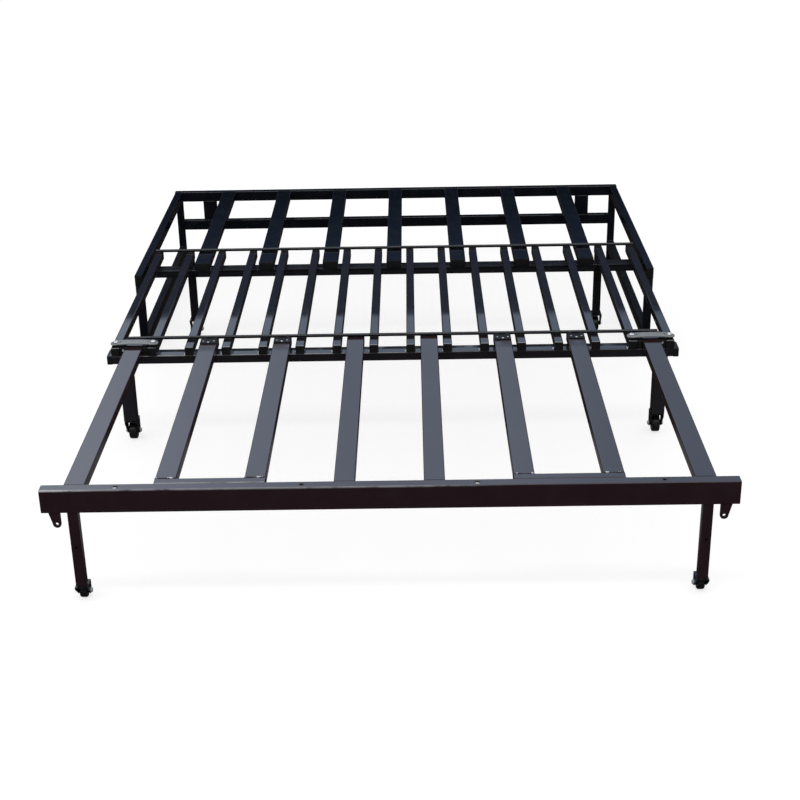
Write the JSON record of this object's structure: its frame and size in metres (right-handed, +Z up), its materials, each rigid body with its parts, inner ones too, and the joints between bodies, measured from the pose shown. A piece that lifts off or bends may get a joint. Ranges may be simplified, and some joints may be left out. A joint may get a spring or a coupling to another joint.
{
  "type": "sofa bed mechanism",
  "caption": "Black steel-tube pull-out bed frame: a fixed rear box and sliding sections on casters, with interleaved slats that close up to sofa depth.",
  "frame": {"origin": "on the floor, under the middle of the pulled-out frame", "axes": "+X to the right seen from the front, +Y from the front rail to the back rail, +Z up"},
  "size_m": [1.352, 1.972, 0.2543],
  "materials": {
    "frame_paint": "semi-gloss black powder coat",
    "plug_plastic": "moulded black plastic",
    "strap_steel": "dark grey coated strap",
    "fork_steel": "black coated sheet steel",
    "wheel_plastic": "moulded black wheel"
  },
  "bodies": {
    "rear_frame": {"back_top_rail": "frame_paint", "back_rail_plugs": "plug_plastic", "back_middle_rail": "frame_paint", "back_uprights": "frame_paint", "top_side_rails": "frame_paint", "side_rail_plugs": "plug_plastic", "corner_posts": "frame_paint", "post_feet": "plug_plastic", "lower_side_rails": "frame_paint", "cross_rail": "frame_paint", "rear_slats": "frame_paint", "rear_slat_plugs": "plug_plastic"},
    "middle_section": {"narrow_slats": "frame_paint", "narrow_slat_plugs": "plug_plastic", "middle_rail": "frame_paint", "middle_rail_plugs": "plug_plastic", "middle_rod": "frame_paint", "middle_front_legs": "frame_paint", "middle_front_leg_sockets": "plug_plastic", "middle_rear_legs": "frame_paint", "middle_rear_leg_sockets": "plug_plastic", "bridge_strap_left": "strap_steel", "bridge_strap_right": "strap_steel"},
    "front_section": {"front_rail": "frame_paint", "front_rail_plugs": "plug_plastic", "long_front_slats": "frame_paint", "short_front_slats": "frame_paint", "front_slat_plugs": "plug_plastic", "rail_strips": "frame_paint", "front_rod": "frame_paint", "front_legs": "frame_paint", "front_leg_sockets": "plug_plastic", "rod_brackets": "frame_paint", "rail_lugs": "frame_paint"},
    "front_left_caster": {"front_left_fork": "fork_steel"},
    "front_left_roller": {"front_left_wheel": "wheel_plastic"},
    "front_right_caster": {"front_right_fork": "fork_steel"},
    "front_right_roller": {"front_right_wheel": "wheel_plastic"},
    "middle_left_caster": {"middle_left_fork": "fork_steel"},
    "middle_left_roller": {"middle_left_wheel": "wheel_plastic"},
    "middle_right_caster": {"middle_right_fork": "fork_steel"},
    "middle_right_roller": {"middle_right_wheel": "wheel_plastic"},
    "rear_left_caster": {"rear_left_fork": "fork_steel"},
    "rear_left_roller": {"rear_left_wheel": "wheel_plastic"},
    "rear_right_caster": {"rear_right_fork": "fork_steel"},
    "rear_right_roller": {"rear_right_wheel": "wheel_plastic"}
  },
  "joints": [
    {"name": "middle_slide", "type": "slide", "parent": "rear_frame", "child": "middle_section", "axis": [0, 1, 0], "range_m": [0, 0.45]},
    {"name": "front_slide", "type": "slide", "parent": "middle_section", "child": "front_section", "axis": [0, 1, 0], "range_m": [0, 0.6]},
    {"name": "front_left_swivel", "type": "hinge", "parent": "front_section", "child": "front_left_caster", "pos_m": [-0.599, -0.9735, 0.037], "axis": [0, 0, 1], "continuous": true},
    {"name": "front_left_spin", "type": "hinge", "parent": "front_left_caster", "child": "front_left_roller", "pos_m": [-0.599, -0.9595, 0.0145], "axis": [1, 0, 0], "continuous": true},
    {"name": "front_right_swivel", "type": "hinge", "parent": "front_section", "child": "front_right_caster", "pos_m": [0.599, -0.9735, 0.037], "axis": [0, 0, 1], "continuous": true},
    {"name": "front_right_spin", "type": "hinge", "parent": "front_right_caster", "child": "front_right_roller", "pos_m": [0.599, -0.9595, 0.0145], "axis": [1, 0, 0], "continuous": true},
    {"name": "middle_left_swivel", "type": "hinge", "parent": "middle_section", "child": "middle_left_caster", "pos_m": [-0.62, -0.268, 0.058], "axis": [0, 0, 1], "continuous": true},
    {"name": "middle_left_spin", "type": "hinge", "parent": "middle_left_caster", "child": "middle_left_roller", "pos_m": [-0.62, -0.25, 0.021], "axis": [1, 0, 0], "continuous": true},
    {"name": "middle_right_swivel", "type": "hinge", "parent": "middle_section", "child": "middle_right_caster", "pos_m": [0.62, -0.268, 0.058], "axis": [0, 0, 1], "continuous": true},
    {"name": "middle_right_spin", "type": "hinge", "parent": "middle_right_caster", "child": "middle_right_roller", "pos_m": [0.62, -0.25, 0.021], "axis": [1, 0, 0], "continuous": true},
    {"name": "rear_left_swivel", "type": "hinge", "parent": "middle_section", "child": "rear_left_caster", "pos_m": [-0.5525, 0.382, 0.058], "axis": [0, 0, 1], "continuous": true},
    {"name": "rear_left_spin", "type": "hinge", "parent": "rear_left_caster", "child": "rear_left_roller", "pos_m": [-0.5525, 0.4, 0.021], "axis": [1, 0, 0], "continuous": true},
    {"name": "rear_right_swivel", "type": "hinge", "parent": "middle_section", "child": "rear_right_caster", "pos_m": [0.5525, 0.382, 0.058], "axis": [0, 0, 1], "continuous": true},
    {"name": "rear_right_spin", "type": "hinge", "parent": "rear_right_caster", "child": "rear_right_roller", "pos_m": [0.5525, 0.4, 0.021], "axis": [1, 0, 0], "continuous": true}
  ]
}
